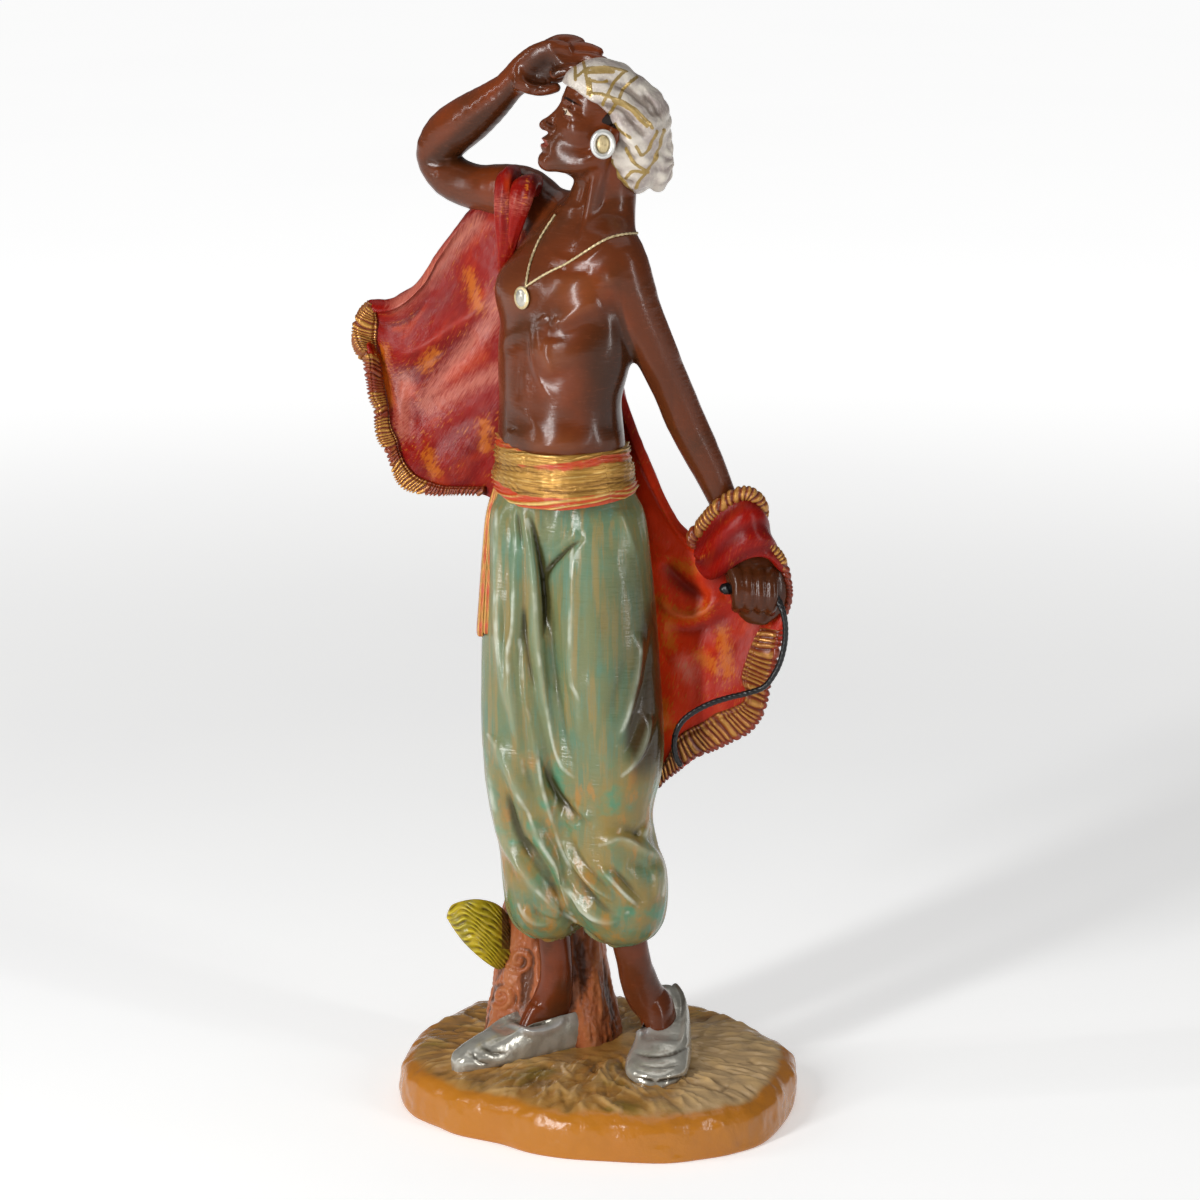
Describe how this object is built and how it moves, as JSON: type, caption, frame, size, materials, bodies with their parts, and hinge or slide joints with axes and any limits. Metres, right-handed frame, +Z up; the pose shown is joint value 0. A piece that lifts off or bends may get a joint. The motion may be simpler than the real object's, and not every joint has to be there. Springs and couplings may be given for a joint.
{
  "type": "presepe figure",
  "caption": "Painted nativity figure of a camel driver shading the eyes, on a rounded ground base, with a lead cord through one fist.",
  "frame": {"origin": "centre of the base's flat underside", "axes": "+Z up along the figure; -Y towards the viewer whom the front faces; +X to that viewer's right, the side of the hand that holds the cord"},
  "size_m": [0.1247, 0.1064, 0.2997],
  "materials": {
    "painted_resin": "hand-painted, satin to glossy varnish",
    "black_cord": "waxed twisted cord, black"
  },
  "bodies": {
    "root": {"figure": "painted_resin", "lead_cord": "black_cord"}
  },
  "joints": []
}
